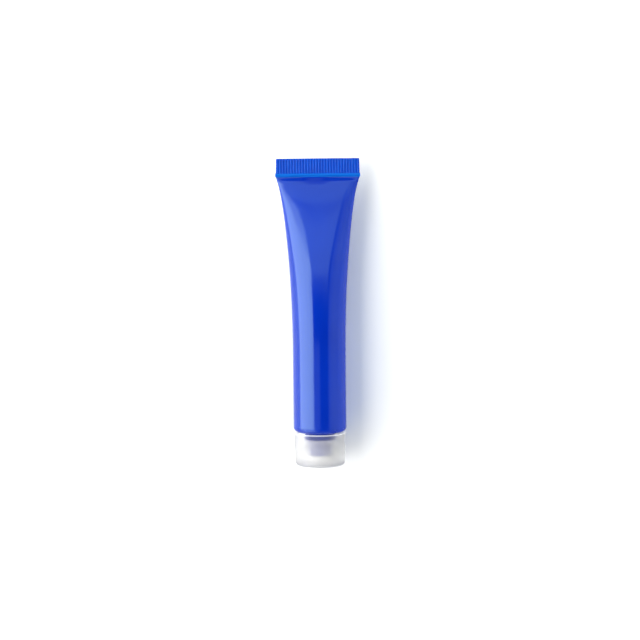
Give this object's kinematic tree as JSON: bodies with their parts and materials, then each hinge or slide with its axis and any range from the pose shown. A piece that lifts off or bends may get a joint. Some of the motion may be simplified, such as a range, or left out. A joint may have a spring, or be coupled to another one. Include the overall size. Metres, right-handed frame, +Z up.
{
  "type": "paint tube",
  "caption": "Small plastic squeeze tube of blue paint lying on its side, round at the neck, pressed flat at a finely ribbed crimped tail, with a frosted screw cap.",
  "frame": {"origin": "on the surface the tube lies on, under the middle of its length and width", "axes": "+Y along the tube towards the crimped tail, the cap towards -Y; +X across the width of the flat crimp; +Z up"},
  "size_m": [0.0258, 0.0922, 0.016],
  "materials": {
    "sleeve_blue": "glossy blue polyethylene, slightly translucent where it is thin",
    "head_blue": "moulded blue polyethylene",
    "cap_frost": "frosted translucent polypropylene",
    "liner_foam": "fine foam sheet",
    "paint_blue": "wet paint"
  },
  "bodies": {
    "tube": {"tube_sleeve": "sleeve_blue", "tube_head": "head_blue", "paint_fill": "paint_blue"},
    "liner": {"cap_liner": "liner_foam"},
    "cap": {"screw_cap": "cap_frost"}
  },
  "joints": [
    {"name": "cap_lift", "type": "slide", "parent": "tube", "child": "liner", "axis": [0, -1, 0], "range_m": [0, 0.01]},
    {"name": "cap_turn", "type": "hinge", "parent": "liner", "child": "cap", "pos_m": [0, -0.0365, 0.008], "axis": [0, -1, 0], "range_deg": [0, 1802]}
  ],
  "couplings": [
    {"joint": "cap_turn", "follows": "cap_lift", "rad_per_m": 3141.6}
  ]
}
